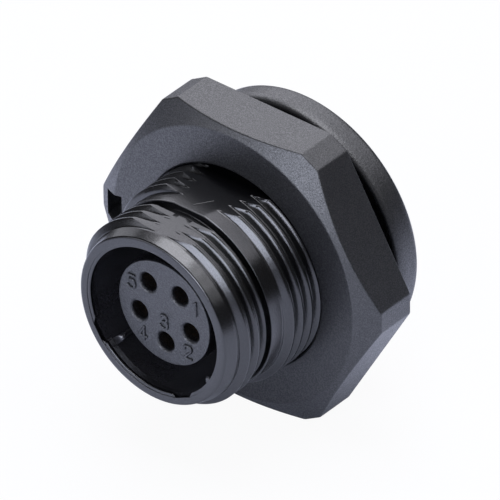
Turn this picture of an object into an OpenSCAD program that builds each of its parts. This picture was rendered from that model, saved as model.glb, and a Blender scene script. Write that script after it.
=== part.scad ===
// Panel receptacle of a five-contact waterproof power connector.
// The axis lies along Y with the mouth at -Y, and +Z is up. The origin is on the axis,
// in the plane where the flange meets the panel. All sizes are in millimetres.

/* [Shell] */
// From the flange's front face to the rim of the mouth
front_length = 15.4; // [13.5:0.1:20]
// Diameter of the nose at the rim
rim_d = 13.3; // [13:0.1:13.8]
// Diameter that the nose widens to at the coupling thread
nose_d = 13.9; // [13.8:0.1:14.2]
// Rounding of the rim's outer edge
rim_edge = 0.25; // [0.05:0.05:0.3]
// Diameter of the shallow step just inside the rim
mouth_step_d = 12.2; // [12:0.1:12.6]
// Depth of that step
mouth_step_depth = 0.22; // [0.2:0.02:0.5]
// Diameter of the ring-shaped cavity
mouth_d = 11.6; // [11:0.1:11.9]
// Depth of the cavity below the rim
cavity_depth = 8.3; // [6:0.1:9]
// Thickness of the web that the insert passes through
web_t = 1.4; // [1:0.1:2.2]
// Diameter of the bore behind the web
rear_bore_d = 10.5; // [10:0.1:11.5]
// Diameter of the barrel behind the flange
rear_barrel_d = 12; // [11.8:0.1:15]
// Length of the barrel behind the flange
rear_barrel_len = 3.2; // [1.5:0.1:6]

/* [Threads and flats] */
// Outside diameter of the coupling thread at the front
coupling_thread_d = 15; // [14.6:0.1:15.4]
// From the rim to the start of the coupling thread
coupling_thread_start = 1; // [0.5:0.05:1.2]
// Length of the coupling thread
coupling_thread_len = 2.65; // [2:0.05:4]
// Diameter of the relief groove behind the coupling thread
groove_d = 13.4; // [13:0.1:13.8]
// Width of the relief groove
groove_w = 0.52; // [0.3:0.02:1]
// Diameter of the plain collar behind the groove
collar_d = 14.95; // [14.6:0.05:15.4]
// Length of the plain collar
collar_len = 1.25; // [0.6:0.05:2]
// Outside diameter of the panel thread that carries the nut
panel_thread_d = 16; // [15.6:0.1:17.5]
// Height of each thread's lead-in cone along the axis
thread_lead = 0.28; // [0.2:0.02:0.5]
// From the axis to the flat on top of the coupling thread
coupling_flat_h = 7; // [6.85:0.05:7.2]
// From the axis to the flat on top of the panel thread
panel_flat_h = 7.38; // [7.1:0.02:7.8]

/* [Keys in the mouth] */
// Width of each keyway in the cavity's wall
keyway_w = 1.75; // [0.8:0.05:2.5]
// Depth of each keyway into that wall
keyway_depth = 0.3; // [0.1:0.02:0.34]
// Clock angle of the first keyway, seen from the mouth
keyway_1 = 155.5; // [140:0.5:170]
// Clock angle of the second keyway, seen from the mouth
keyway_2 = 239.2; // [225:0.5:270]
// Width of each round-topped guide rib on the cavity's wall
rib_w = 0.5; // [0.3:0.05:0.8]
// Height of each guide rib
rib_h = 0.45; // [0.4:0.05:0.8]
// Clock angle midway between the two guide ribs, seen from the mouth
rib_middle = 181.6; // [170:0.1:190]
// Clock angle of each guide rib either side of that
rib_angle = 45.4; // [40:0.1:55]
// How far the guide ribs reach in front of the insert's face
rib_lead = 0.2; // [0:0.05:0.5]

/* [Flange] */
// Diameter of the flange
flange_d = 20.4; // [19.6:0.1:26]
// Thickness of the flange
flange_t = 1.85; // [1.5:0.05:3]
// Rounding of the flange's edges
flange_edge = 0.3; // [0.1:0.05:0.4]
// Depth of the groove that holds the panel gasket
seal_groove_depth = 0.6; // [0.3:0.05:0.9]

/* [Hex nut] */
// Across the flats of the nut
nut_af = 23; // [20.5:0.1:27]
// Across the nut's cut corners
nut_corner_d = 25.6; // [24:0.05:26]
// Thickness of the nut
nut_t = 4.25; // [3:0.05:5]
// Diameter of the flat face inside the nut's chamfer
nut_face_d = 22; // [19:0.1:22.5]
// Angle of the nut's chamfer from its face
nut_chamfer = 28; // [15:1:40]
// Countersink at both ends of the nut's bore
nut_countersink = 0.25; // [0.1:0.05:0.5]
// Clear gap between the nut and the flange
panel_gap = 2.3; // [2.1:0.1:3]
// Turn of the nut from flat-up, clockwise seen from the mouth
nut_turn = 1.2; // [-30:0.1:30]
// Width of the pocket at one corner of the nut
pocket_w = 2.6; // [1:0.1:3.5]
// Radial height of that pocket
pocket_h = 1.55; // [0.6:0.05:1.8]
// From the axis to the middle of that pocket
pocket_r = 11; // [10:0.1:11.2]
// Depth of that pocket
pocket_depth = 2; // [0.5:0.1:2.6]

/* [Panel gasket] */
// Width of the gasket from its bore to its outside
gasket_w = 0.9; // [0.5:0.05:1]
// Thickness of the gasket
gasket_t = 0.9; // [0.7:0.05:1.2]

/* [Contact insert] */
// Diameter of the insert's face
insert_d = 8.34; // [8.1:0.02:8.6]
// From the rim down to the insert's face
insert_recess = 1.285; // [0.5:0.005:2.5]
// Thickness of the shoulder that rests on the web
insert_shoulder_t = 1.4; // [1:0.1:1.8]
// Length of the boss behind the shoulder
insert_boss_len = 1.2; // [1.15:0.05:1.6]
// Diameter of the circle that the contacts stand on
contact_pcd = 4.95; // [4.7:0.05:5.1]
// Diameter of each contact hole in the face
contact_hole_d = 1.3; // [1.15:0.05:1.4]
// Diameter of each hole's flared mouth
hole_mouth_d = 1.56; // [1.42:0.02:1.7]
// Thickness of the face in front of the contacts
insert_front_t = 1.2; // [0.4:0.05:1.5]

/* [Contacts] */
// Bore of each socket, a little under the pin that it grips
pin_bore_d = 0.96; // [0.8:0.02:1]
// Outside diameter of the socket tube
socket_d = 1.7; // [1.5:0.05:1.8]
// Depth of the socket's bore
socket_depth = 6; // [4:0.1:7]
// Width of the slots that let the socket spring
slot_w = 0.25; // [0.15:0.01:0.35]
// Length of those slots
slot_len = 4; // [2:0.1:5]
// Diameter of the collar that holds the contact in place
contact_collar_d = 2.2; // [2:0.05:2.3]
// Thickness of that collar
contact_collar_t = 0.8; // [0.5:0.05:1]
// Outside diameter of the solder cup
cup_d = 1.6; // [1.4:0.05:1.8]
// Bore of the solder cup
cup_bore_d = 0.9; // [0.7:0.05:1.2]
// Depth of the solder cup
cup_depth = 2.2; // [1.8:0.1:3]
// Length of the cup's open side
cup_cut_len = 1.65; // [0.8:0.05:1.7]
// How far the solder cups reach past the shell
tail_reach = 1.4; // [0.5:0.1:4]

/* [Rear insulator and retaining ring] */
// Thickness of the rear insulator
rear_insulator_t = 2; // [1:0.1:3]
// Thickness of the retaining ring
ring_t = 1.6; // [0.8:0.1:2.5]
// Bore of the retaining ring
ring_bore_d = 8.4; // [7.5:0.1:9.2]

/* [Fits] */
// Radial clearance of the nut on its thread
nut_play = 0.05; // [0.03:0.01:0.1]
// Radial clearance of the gasket in its groove
gasket_play = 0.1; // [0.05:0.01:0.15]
// Radial clearance of the parts that slide into the shell and the insert
inner_play = 0.05; // [0.03:0.01:0.08]

/* [Hidden] */
$fn = 96;
contact_count = 5;
contact_step = 360 / contact_count;
// A cut reaches this far past what it cuts
over = 1;
// A rib is rooted this deep in the cavity's wall
rib_root = 0.25;
black = [0.12, 0.12, 0.14];
grey = [0.35, 0.36, 0.39];
rubber = [0.05, 0.05, 0.05];
gold = [0.83, 0.66, 0.3];

// Places along the axis, counted from the flange's front face towards the rear
rim_z = -front_length;
cavity_floor_z = rim_z + cavity_depth;
web_back_z = cavity_floor_z + web_t;
coupling_z0 = rim_z + coupling_thread_start;
coupling_z1 = coupling_z0 + coupling_thread_len;
collar_z0 = coupling_z1 + groove_w;
panel_thread_z0 = collar_z0 + collar_len;
shell_back_z = flange_t + rear_barrel_len;
nut_back_z = -panel_gap;
nut_face_z = nut_back_z - nut_t;
insert_face_z = rim_z + insert_recess;
shoulder_back_z = web_back_z + insert_shoulder_t;
boss_back_z = shoulder_back_z + insert_boss_len;
ring_front_z = boss_back_z + rear_insulator_t;
socket_front_z = insert_face_z + insert_front_t + inner_play;
tail_z = shell_back_z + tail_reach;

// Radii that more than one piece shares
rim_r = rim_d / 2;
coupling_r = coupling_thread_d / 2;
panel_r = panel_thread_d / 2;
flange_r = flange_d / 2;
insert_r = insert_d / 2;
rear_bore_r = rear_bore_d / 2;
seal_groove_r = panel_r + gasket_w + 2 * gasket_play;
insert_seal_r = (rear_bore_r - insert_r - 2 * inner_play) / 2;

// Points of a quarter-round edge from angle a0, about the centre (r, z)
function edge_arc(r, z, radius, a0) = [
    for (a = [0 : 22.5 : 90]) [r + radius * cos(a0 + a), z + radius * sin(a0 + a)]
];

// Lays a piece that is drawn along Z down on the connector's axis
module lay_down() {
    rotate([-90, 0, 0]) children();
}

// Puts a piece at a clock angle seen from the mouth, this far from the axis
module at_clock(angle, r) {
    rotate([0, 0, angle]) translate([0, -r, 0]) children();
}

// Repeats a piece at each contact's place
module at_contacts() {
    for (k = [1 : contact_count]) at_clock((k - 0.5) * contact_step, contact_pcd / 2) children();
}

// A round bar between two places on the axis
module bar(r, z0, z1) {
    translate([0, 0, z0]) cylinder(r = r, h = z1 - z0);
}

// A tube between two places on the axis
module tube(r_out, r_in, z0, z1) {
    difference() {
        bar(r_out, z0, z1);
        bar(r_in, z0 - over, z1 + over);
    }
}

// The turned outside of the shell as half a section
module shell_outline() {
    polygon(concat(
        [[0, rim_z]],
        edge_arc(rim_r - rim_edge, rim_z + rim_edge, rim_edge, -90),
        [
            [nose_d / 2, coupling_z0],
            [coupling_r, coupling_z0 + thread_lead],
            [coupling_r, coupling_z1],
            [groove_d / 2, coupling_z1],
            [groove_d / 2, collar_z0],
            [collar_d / 2, collar_z0],
            [collar_d / 2, panel_thread_z0],
            [panel_r, panel_thread_z0 + thread_lead],
            [panel_r, 0]
        ],
        edge_arc(flange_r - flange_edge, flange_edge, flange_edge, -90),
        edge_arc(flange_r - flange_edge, flange_t - flange_edge, flange_edge, 0),
        [
            [rear_barrel_d / 2, flange_t],
            [rear_barrel_d / 2, shell_back_z],
            [0, shell_back_z]
        ]
    ));
}

// A flat on top of a thread between two places on the axis
module flat_cut(height, z0, z1) {
    translate([-flange_r, -height - flange_r, z0]) cube([2 * flange_r, flange_r, z1 - z0]);
}

// The bores of the shell, from the mouth to the back
module shell_bores() {
    bar(mouth_step_d / 2, rim_z - over, rim_z + mouth_step_depth);
    bar(mouth_d / 2, rim_z - over, cavity_floor_z);
    bar(insert_r + inner_play, cavity_floor_z - over, web_back_z + over);
    bar(rear_bore_r, web_back_z, shell_back_z + over);
}

// A flat-bottomed keyway in the cavity's wall, from the rim to the floor
module keyway(angle) {
    at_clock(angle, mouth_d / 2) translate([-keyway_w / 2, -keyway_depth, rim_z - over])
        cube([keyway_w, keyway_depth + over, cavity_depth + over]);
}

// A round-topped guide rib on the cavity's wall, from just before the insert's face to the floor
module guide_rib(angle) {
    top_r = rib_w / 2;
    rib_z0 = insert_face_z - rib_lead;
    at_clock(angle, mouth_d / 2) {
        translate([0, rib_h - top_r, 0]) bar(top_r, rib_z0, cavity_floor_z);
        translate([-top_r, -rib_root, rib_z0])
            cube([rib_w, rib_root + rib_h - top_r, cavity_floor_z - rib_z0]);
    }
}

// The moulded shell: threaded nose, flange and rear barrel in one piece
module shell() {
    color(black) lay_down() {
        difference() {
            rotate_extrude() shell_outline();
            shell_bores();
            flat_cut(coupling_flat_h, rim_z - over, collar_z0);
            flat_cut(panel_flat_h, collar_z0, 0);
            tube(seal_groove_r, panel_r, -over, seal_groove_depth);
            keyway(keyway_1);
            keyway(keyway_2);
        }
        guide_rib(rib_middle - rib_angle);
        guide_rib(rib_middle + rib_angle);
    }
}

// A hexagon across its flats, turned by an angle
module hexagon_bar(across, angle, z0, z1) {
    rotate([0, 0, angle]) translate([0, 0, z0])
        cylinder(d = across / cos(30), h = z1 - z0, $fn = 6);
}

// The bore of the nut with a countersink at each end
module nut_bore() {
    bore_r = panel_r + nut_play;
    bar(bore_r, nut_face_z - over, nut_back_z + over);
    translate([0, 0, nut_face_z])
        cylinder(r1 = bore_r + nut_countersink, r2 = bore_r, h = nut_countersink);
    translate([0, 0, nut_back_z - nut_countersink])
        cylinder(r1 = bore_r, r2 = bore_r + nut_countersink, h = nut_countersink);
}

// The panel nut: cut corners, a conical chamfer on its face and a pocket at one corner
module hex_nut() {
    cone_r = nut_face_d / 2 + nut_t / tan(nut_chamfer);
    color(black) lay_down() rotate([0, 0, nut_turn]) difference() {
        intersection() {
            hexagon_bar(nut_af, 0, nut_face_z, nut_back_z);
            hexagon_bar(nut_corner_d, 30, nut_face_z - over, nut_back_z + over);
            translate([0, 0, nut_face_z]) cylinder(r1 = nut_face_d / 2, r2 = cone_r, h = nut_t);
        }
        nut_bore();
        translate([-pocket_r - pocket_h / 2, -pocket_w / 2, nut_face_z - over])
            cube([pocket_h, pocket_w, pocket_depth + over]);
    }
}

// The flat rubber ring that seals the flange against the panel
module panel_gasket() {
    color(rubber) lay_down() tube(
        seal_groove_r - gasket_play,
        panel_r + gasket_play,
        seal_groove_depth - gasket_t,
        seal_groove_depth
    );
}

// One contact's way through the insert: flared hole, socket chamber and collar seat
module contact_way() {
    flare = (hole_mouth_d - contact_hole_d) / 2;
    bar(contact_hole_d / 2, insert_face_z - over, boss_back_z);
    translate([0, 0, insert_face_z])
        cylinder(d1 = hole_mouth_d, d2 = contact_hole_d, h = flare);
    bar(socket_d / 2 + inner_play, insert_face_z + insert_front_t, boss_back_z);
    bar(contact_collar_d / 2 + inner_play, boss_back_z - contact_collar_t, boss_back_z + over);
}

// The grey insulator whose face shows in the mouth
module insert() {
    color(grey) lay_down() difference() {
        union() {
            bar(insert_r, insert_face_z, boss_back_z);
            bar(rear_bore_r - inner_play, web_back_z, shoulder_back_z);
        }
        at_contacts() contact_way();
    }
}

// The disc behind the insert that traps the contacts' collars
module rear_insulator() {
    color(grey) lay_down() difference() {
        bar(rear_bore_r - inner_play, boss_back_z, ring_front_z);
        at_contacts() bar(cup_d / 2 + inner_play, boss_back_z - over, ring_front_z + over);
    }
}

// The rubber ring round the insert's boss
module insert_seal() {
    color(rubber) lay_down() translate([0, 0, shoulder_back_z + insert_seal_r])
        rotate_extrude() translate([insert_r + inner_play + insert_seal_r, 0])
            circle(r = insert_seal_r, $fn = 48);
}

// The ring that holds the insert and the rear insulator in the shell
module retaining_ring() {
    color(black) lay_down() tube(
        rear_bore_r - inner_play,
        ring_bore_d / 2,
        ring_front_z,
        ring_front_z + ring_t
    );
}

// A turned socket contact on the axis: slotted tube, collar and solder cup
module socket_contact() {
    collar_z = boss_back_z - contact_collar_t;
    difference() {
        union() {
            bar(socket_d / 2, socket_front_z, collar_z);
            bar(contact_collar_d / 2, collar_z, boss_back_z);
            bar(cup_d / 2, boss_back_z, tail_z);
        }
        bar(pin_bore_d / 2, socket_front_z - over, socket_front_z + socket_depth);
        bar(cup_bore_d / 2, tail_z - cup_depth, tail_z + over);
        translate([-slot_w / 2, -socket_d, socket_front_z - over])
            cube([slot_w, 2 * socket_d, slot_len + over]);
        translate([-cup_d, -cup_d, tail_z - cup_cut_len])
            cube([2 * cup_d, cup_d, cup_cut_len + over]);
    }
}

// The contact that stands at one number's place
module contact(k) {
    color(gold) lay_down() at_clock((k - 0.5) * contact_step, contact_pcd / 2) socket_contact();
}

shell();
hex_nut();
panel_gasket();
insert();
rear_insulator();
insert_seal();
retaining_ring();
contact(1);  // contact_1
contact(2);  // contact_2
contact(3);  // contact_3
contact(4);  // contact_4
contact(5);  // contact_5
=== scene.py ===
"""Looks of a five-contact panel receptacle: threaded shell, panel nut, insert, contacts and seals.

The axis lies along Y with the mouth at -Y and +Z up. Sizes are in millimetres until a mesh is made.
Angles about the axis start at +X and turn towards +Z, which is anticlockwise seen from the mouth.
"""

import logging
import math
from collections.abc import Sequence
from dataclasses import dataclass, replace
from enum import Enum
from typing import Any

import bpy
import numpy as np
from mathutils import Matrix, Vector

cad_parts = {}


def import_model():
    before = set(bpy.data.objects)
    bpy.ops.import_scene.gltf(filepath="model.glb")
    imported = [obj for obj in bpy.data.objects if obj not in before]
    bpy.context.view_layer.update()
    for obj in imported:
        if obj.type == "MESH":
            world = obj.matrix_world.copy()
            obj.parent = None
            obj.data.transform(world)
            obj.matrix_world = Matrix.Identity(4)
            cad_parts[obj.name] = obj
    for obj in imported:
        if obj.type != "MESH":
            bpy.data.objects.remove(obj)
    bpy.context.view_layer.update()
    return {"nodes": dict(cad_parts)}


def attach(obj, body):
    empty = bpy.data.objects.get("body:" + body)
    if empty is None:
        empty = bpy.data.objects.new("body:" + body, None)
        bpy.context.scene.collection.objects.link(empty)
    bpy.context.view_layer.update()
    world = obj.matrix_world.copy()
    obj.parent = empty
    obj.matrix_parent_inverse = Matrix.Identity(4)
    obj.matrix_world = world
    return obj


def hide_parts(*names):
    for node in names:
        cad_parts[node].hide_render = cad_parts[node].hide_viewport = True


LOG = logging.getLogger("receptacle")
MM = 0.001
TAU = 2 * math.pi
QUARTER = math.pi / 2
WHITE = (1.0, 1.0, 1.0, 1.0)
Array = np.ndarray
Pair = tuple[float, float]
Triple = tuple[float, float, float]
Material = bpy.types.Material
# A rounding's end and the ring past it: times the reach, and at most this part of the side
ROUND_ENDS = ((1.0, 0.42), (1.5, 0.47))
# Strokes of each figure as corners across and up, in parts of its height
FIGURE_STROKES: dict[int, tuple[tuple[Pair, ...], ...]] = {
    1: (((-0.2, 0.28), (0.04, 0.5)), ((0.04, 0.5), (0.04, -0.5))),
    2: (
        ((-0.27, 0.25), (-0.27, 0.52), (0.28, 0.54), (0.3, 0.1), (-0.02, -0.15), (-0.29, -0.5)),
        ((-0.29, -0.5), (0.29, -0.5)),
    ),
    3: (
        ((-0.27, 0.36), (-0.18, 0.52), (0.27, 0.54), (0.27, 0.05), (-0.05, 0.03)),
        ((-0.05, 0.03), (0.3, 0.05), (0.32, -0.52), (-0.2, -0.52), (-0.28, -0.33)),
    ),
    4: (((0.13, -0.5), (0.13, 0.5)), ((0.13, 0.5), (-0.3, -0.22)), ((-0.3, -0.22), (0.31, -0.22))),
    5: (
        ((0.25, 0.5), (-0.2, 0.5)),
        ((-0.2, 0.5), (-0.24, 0.02)),
        ((-0.24, 0.02), (0.0, 0.17), (0.28, 0.1), (0.32, -0.5), (-0.18, -0.55), (-0.28, -0.36)),
    ),
}


class Body(Enum):
    """The bodies that pieces ride on."""

    RECEPTACLE = "receptacle"
    NUT = "nut"


class Slot(Enum):
    """The record's material slots."""

    SHELL = "shell_plastic"
    NUT = "nut_plastic"
    INSULATOR = "insulator"
    RUBBER = "rubber"
    METAL = "contact_metal"


class Socket:
    """An output socket that takes part in Python arithmetic and adds Math nodes as it does."""

    def __init__(self, graph: "Graph", link: bpy.types.NodeSocket) -> None:
        """Keeps the graph that new Math nodes go to and the wrapped output."""
        self.graph = graph
        self.link = link

    def __add__(self, other: "Socket | float") -> "Socket":
        """Sum."""
        return self.graph.math("ADD", self, other)

    def __radd__(self, other: float) -> "Socket":
        """Sum, number first."""
        return self.graph.math("ADD", other, self)

    def __sub__(self, other: "Socket | float") -> "Socket":
        """Difference."""
        return self.graph.math("SUBTRACT", self, other)

    def __rsub__(self, other: float) -> "Socket":
        """Difference, number first."""
        return self.graph.math("SUBTRACT", other, self)

    def __mul__(self, other: "Socket | float") -> "Socket":
        """Product."""
        return self.graph.math("MULTIPLY", self, other)

    def __rmul__(self, other: float) -> "Socket":
        """Product, number first."""
        return self.graph.math("MULTIPLY", other, self)


class Graph:
    """A node tree that is filled by expressions."""

    def __init__(self, tree: bpy.types.NodeTree) -> None:
        """Starts from an empty tree."""
        self.tree = tree
        tree.nodes.clear()

    def node(self, kind: str, inputs: dict[str | int, Any], out: str | int = 0, **settings: Any) -> Socket:
        """Adds one node.

        Args:
            kind: The node's type.
            inputs: Values or sockets by input name or number.
            out: The output to return.
            settings: Properties set before anything else; "stops" fills a colour ramp.

        Returns:
            The chosen output, or the first input where the node has no output.
        """
        made = self.tree.nodes.new(kind)
        for name, value in settings.items():
            if name == "stops":
                self.fill_ramp(made.color_ramp, value)
            else:
                setattr(made, name, value)
        for key, value in inputs.items():
            if isinstance(value, Socket):
                self.tree.links.new(value.link, made.inputs[key])
            else:
                made.inputs[key].default_value = value
        return Socket(self, made.outputs[out] if len(made.outputs) else made.inputs[0])

    @staticmethod
    def fill_ramp(ramp: bpy.types.ColorRamp, stops: Sequence[Pair]) -> None:
        """Gives a ramp grey stops.

        Args:
            ramp: The ramp.
            stops: Each stop's place and level.
        """
        while len(ramp.elements) < len(stops):
            ramp.elements.new(1.0)
        for element, (place, level) in zip(ramp.elements, stops):
            element.position = place
            element.color = (level, level, level, 1.0)

    def math(self, operation: str, *values: "Socket | float") -> Socket:
        """Adds a Math node for an expression on values."""
        return self.node("ShaderNodeMath", dict(enumerate(values)), operation=operation)

    def share(self, value: Socket, low: float, high: float) -> Socket:
        """How far a value is on its way from a low to a high end, held between 0 and 1."""
        return self.math("MINIMUM", self.math("MAXIMUM", (value - low) * (1.0 / (high - low)), 0.0), 1.0)

    def place(self) -> Socket:
        """The place on the piece, in metres."""
        return self.node("ShaderNodeTexCoord", {}, "Object")

    def length(self, vector: Socket) -> Socket:
        """Length of a vector."""
        return self.node("ShaderNodeVectorMath", {0: vector}, "Value", operation="LENGTH")

    def noise(self, place: Socket, size: float, detail: float = 2.0) -> Socket:
        """Soft noise whose features have a size in millimetres."""
        inputs = {"Vector": place, "Scale": 1.0 / (size * MM), "Detail": detail, "Roughness": 0.55}
        return self.node("ShaderNodeTexNoise", inputs, "Fac")

    def specks(self, place: Socket, size: float) -> Socket:
        """Specks of a size in millimetres: noise whose middle levels are spread from 0 to 1."""
        stops = ((0.42, 0.0), (0.62, 1.0))
        return self.node("ShaderNodeValToRGB", {"Fac": self.noise(place, size, 1.0)}, stops=stops)

    def tint(self, factor: Socket, first: Triple, second: Triple) -> Socket:
        """Blends two colours by a factor."""
        inputs = {0: factor, 6: (*first, 1.0), 7: (*second, 1.0)}
        return self.node("ShaderNodeMix", inputs, 2, data_type="RGBA")

    def bump(self, height: Socket, depth: float) -> Socket:
        """A bumped normal whose full height is a depth in millimetres."""
        return self.node("ShaderNodeBump", {"Height": height, "Distance": depth * MM, "Strength": 1.0})

    def ray(self, kind: str) -> Socket:
        """Whether a ray of a kind is being followed, as 1 or 0."""
        return self.node("ShaderNodeLightPath", {}, f"Is {kind} Ray")

    def mix(self, factor: Socket, first: Socket, second: Socket) -> Socket:
        """Blends two shaders by a factor."""
        return self.node("ShaderNodeMixShader", {0: factor, 1: first, 2: second})

    def show(self, shader: Socket, kind: str = "Material") -> None:
        """Leads a shader to the output."""
        self.node(f"ShaderNodeOutput{kind}", {"Surface": shader})


def blank_material(name: str) -> tuple[Material, Graph]:
    """Starts a node material.

    Args:
        name: The material's name.

    Returns:
        The material and its empty graph.
    """
    made = bpy.data.materials.new(name)
    made.use_nodes = True
    return made, Graph(made.node_tree)


@dataclass(frozen=True)
class MouldedPlastic:
    """A moulded plastic or rubber: two close colours in soft clouds, a mould grain and fine specks.

    Attributes:
        name: The material's name.
        dark: The darker colour.
        light: The lighter colour.
        gloss: The lowest and the highest roughness.
        grain: Size of the mould grain in millimetres.
        depth: Height of that grain in millimetres.
        waves: Height of the slow unevenness left by moulding, in millimetres.
        specular: The shader's specular level.
        bend: The shader's index of refraction.
        sparkle: The coat's weight in the brightest of the fine specks.
        clouds_size: Size of the clouds in millimetres.
        waves_size: Size of the slow unevenness in millimetres.
    """

    name: str
    dark: Triple
    light: Triple
    gloss: Pair
    grain: float
    depth: float
    waves: float = 0.0
    specular: float = 0.5
    bend: float = 1.5
    sparkle: float = 0.0
    clouds_size: float = 4.0
    waves_size: float = 2.6

    def shader(self, graph: Graph, place: Socket) -> Socket:
        """Adds the plastic's nodes.

        Args:
            graph: The graph that they go to.
            place: The place on the piece.

        Returns:
            The shader.
        """
        clouds = graph.noise(place, self.clouds_size, 3.0)
        grain = graph.noise(place, self.grain)
        specks, fine = (graph.specks(place, self.grain * part) for part in (1.7, 0.75))
        slow = graph.noise(place, self.waves_size, 1.0)
        low, high = self.gloss
        height = grain + specks * 0.35 + slow * (self.waves / self.depth)
        inputs = {
            "Base Color": graph.tint(0.55 * clouds + 0.45 * specks, self.dark, self.light),
            "Roughness": low + (high - low) * (0.5 * clouds + 0.5 * grain),
            "Specular IOR Level": self.specular,
            "IOR": self.bend,
            "Coat Weight": self.sparkle * fine,
            "Coat Roughness": (low + high) / 2,
            "Normal": graph.bump(height, self.depth),
        }
        return graph.node("ShaderNodeBsdfPrincipled", inputs)

    def material(self) -> Material:
        """Makes the material.

        Returns:
            The material.
        """
        made, graph = blank_material(self.name)
        graph.show(self.shader(graph, graph.place()))
        return made


@dataclass(frozen=True)
class ZonedPlastic:
    """One moulding with one finish at the nose, one at the rear and, in the nose's bore, a lighter copy as
    painted light.

    Attributes:
        name: The material's name.
        nose: The finish in front of the seam.
        rear: The material behind it; the insert's is a darkened copy of its grey, painted shade down its
            holes and over its sides and back.
        bore: The material in front of the seam and inside the bore; the shell's is a lighter copy of its
            satin, painted light that lifts the dark cavity.
        seam: Place of the seam along the axis in millimetres.
        bore_r: Radius at which the bore's material ends, or 0 for none.
        bore_front: Place along the axis at which the bore's material begins.
        blend: Length over which the materials pass into each other.
    """

    name: str
    nose: MouldedPlastic
    rear: MouldedPlastic
    bore: MouldedPlastic
    seam: float = -0.3
    bore_r: float = 6.3
    bore_front: float = -15.05
    blend: float = 0.1

    def past(self, graph: Graph, place: Socket, edge: float) -> Socket:
        """How far a place in metres is past an edge in millimetres, from 0 to 1 over the blend."""
        return graph.share(place, (edge - self.blend / 2) * MM, (edge + self.blend / 2) * MM)

    def material(self) -> Material:
        """Makes the material.

        Returns:
            The material.
        """
        made, graph = blank_material(self.name)
        place = graph.place()
        along = graph.node("ShaderNodeSeparateXYZ", {"Vector": place}, "Y")
        across = graph.node("ShaderNodeVectorMath", {0: place, 1: (1.0, 0.0, 1.0)}, operation="MULTIPLY")
        bore, nose, rear = (finish.shader(graph, place) for finish in (self.bore, self.nose, self.rear))
        outside = self.past(graph, graph.length(across), self.bore_r)
        ahead = 1.0 - self.past(graph, along, self.bore_front)
        front = graph.mix(graph.math("MAXIMUM", outside, ahead), bore, nose)
        graph.show(graph.mix(self.past(graph, along, self.seam), front, rear))
        return made


@dataclass(frozen=True)
class GoldPlate:
    """Gold plating on turned metal: fine turning lines and a slightly uneven tone, darkened throughout as
    painted shade for the contacts in their holes.

    Attributes:
        name: The material's name.
        deep: The deeper tone.
        pale: The paler tone.
        gloss: The lowest and the highest roughness.
    """

    name: str = "gold_plate"
    # Both tones lie far below bright gold: painted shade that keeps the contacts dark down the insert's
    # holes, also on the solder cups
    deep: Triple = (0.24, 0.15, 0.055)
    pale: Triple = (0.4, 0.27, 0.11)
    gloss: Pair = (0.34, 0.52)

    def material(self) -> Material:
        """Makes the material.

        Returns:
            The material.
        """
        made, graph = blank_material(self.name)
        place = graph.place()
        wave = {"Vector": place, "Scale": 9000.0, "Distortion": 1.5, "Detail": 2.0}
        lines = graph.node("ShaderNodeTexWave", wave, "Fac", bands_direction="Y")
        clouds = graph.noise(place, 0.7)
        low, high = self.gloss
        inputs = {
            "Base Color": graph.tint(clouds, self.deep, self.pale),
            "Metallic": 1.0,
            "Roughness": low + (high - low) * clouds,
            "Normal": graph.bump(lines, 0.002),
        }
        graph.show(graph.node("ShaderNodeBsdfPrincipled", inputs))
        return made


def about_axis(angle: Array | float, radius: Array | float, along: Array | float) -> Array:
    """Points round the axis: x is r cos(angle), y is the place along, z is r sin(angle).

    Args:
        angle: Angles about the axis.
        radius: Distances from the axis.
        along: Places along the axis.

    Returns:
        Points in the shape that the three broadcast to, with three coordinates last.
    """
    angle, radius, along = np.broadcast_arrays(angle, radius, along)
    return np.stack([radius * np.cos(angle), along, radius * np.sin(angle)], axis=-1)


def spun(points: Array, angle: float) -> Array:
    """Turns points about the axis: x cos less z sin, y, and x sin plus z cos.

    Args:
        points: Points with three coordinates last.
        angle: How far they turn.

    Returns:
        The turned points.
    """
    x, y, z = np.moveaxis(points, -1, 0)
    cos, sin = math.cos(angle), math.sin(angle)
    return np.stack([x * cos - z * sin, y, x * sin + z * cos], axis=-1)


def clock_angle(clock: float) -> float:
    """Angle about the axis at a clock angle in degrees, seen from the mouth."""
    return math.radians(90.0 - clock)


def signed(angle: Array) -> Array:
    """The same angles between minus and plus half a turn."""
    return np.angle(np.exp(1j * angle))


def in_turn(angle: Array) -> Array:
    """Angles within one turn in rising order, each once."""
    return np.unique(np.round(np.mod(angle, TAU), 6))


def smooth_step(value: Array) -> Array:
    """A soft ramp, 3 t squared less 2 t cubed, with t held between 0 and 1."""
    held = np.clip(value, 0.0, 1.0)
    return held * held * (3.0 - 2.0 * held)


def soft_least(first: Array, second: Array, blend: float) -> Array:
    """The lesser of two arrays, with a parabola over the blend where they cross."""
    share = np.clip(0.5 + 0.5 * (second - first) / blend, 0.0, 1.0)
    return second + (first - second) * share - blend * share * (1.0 - share)


def parabola(start: Array, corner: Array, stop: Array, share: Array | float) -> Array:
    """Start times (1 - t) squared, plus corner times 2 t (1 - t), plus stop times t squared."""
    return (1 - share) ** 2 * start + 2 * share * (1 - share) * corner + share**2 * stop


@dataclass
class Turn:
    """One ring of a section where its line turns.

    Attributes:
        points: The ring's points, one for each column.
        reach: How far the rounding starts from the turn, or 0 for none.
        steps: Number of strips in the rounding.
    """

    points: Array
    reach: float = 0.0
    steps: int = 3


def corner_turns(angle: Array, corners: Sequence[tuple[Any, ...]]) -> list[Turn]:
    """Turns from corners that give a radius, a place along the axis and, if rounded, a reach and steps."""
    return [Turn(about_axis(angle, radius, along), *rounding) for radius, along, *rounding in corners]


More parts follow.
